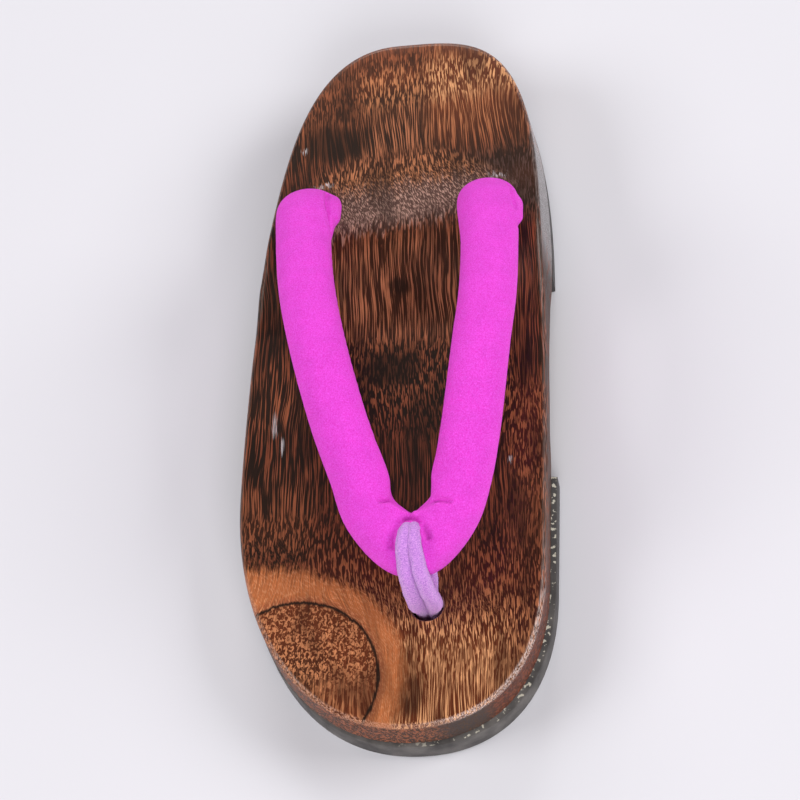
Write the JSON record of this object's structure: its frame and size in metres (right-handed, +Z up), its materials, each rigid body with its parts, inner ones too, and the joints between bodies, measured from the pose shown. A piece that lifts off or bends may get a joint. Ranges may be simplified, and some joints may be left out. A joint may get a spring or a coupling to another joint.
{
  "type": "geta sandal",
  "caption": "Right-foot geta sandal: carved wooden base with raised heel on rubber pads, padded cloth V strap and doubled cord toe loop.",
  "frame": {"origin": "on the floor, under the middle of the sandal's length and width", "axes": "+Z up, toe towards -Y, heel towards +Y, big toe's side towards +X"},
  "size_m": [0.1077, 0.2644, 0.0682],
  "materials": {
    "wood": "charred, brushed and lacquered",
    "pad_rubber": "matte, with a fine tread",
    "strap_cloth": "matte crepe",
    "loop_cord": "soft napped cord"
  },
  "bodies": {
    "root": {"wooden_base": "wood", "heel_pad": "pad_rubber", "forefoot_pad": "pad_rubber", "strap": "strap_cloth", "toe_loop": "loop_cord"}
  },
  "joints": []
}
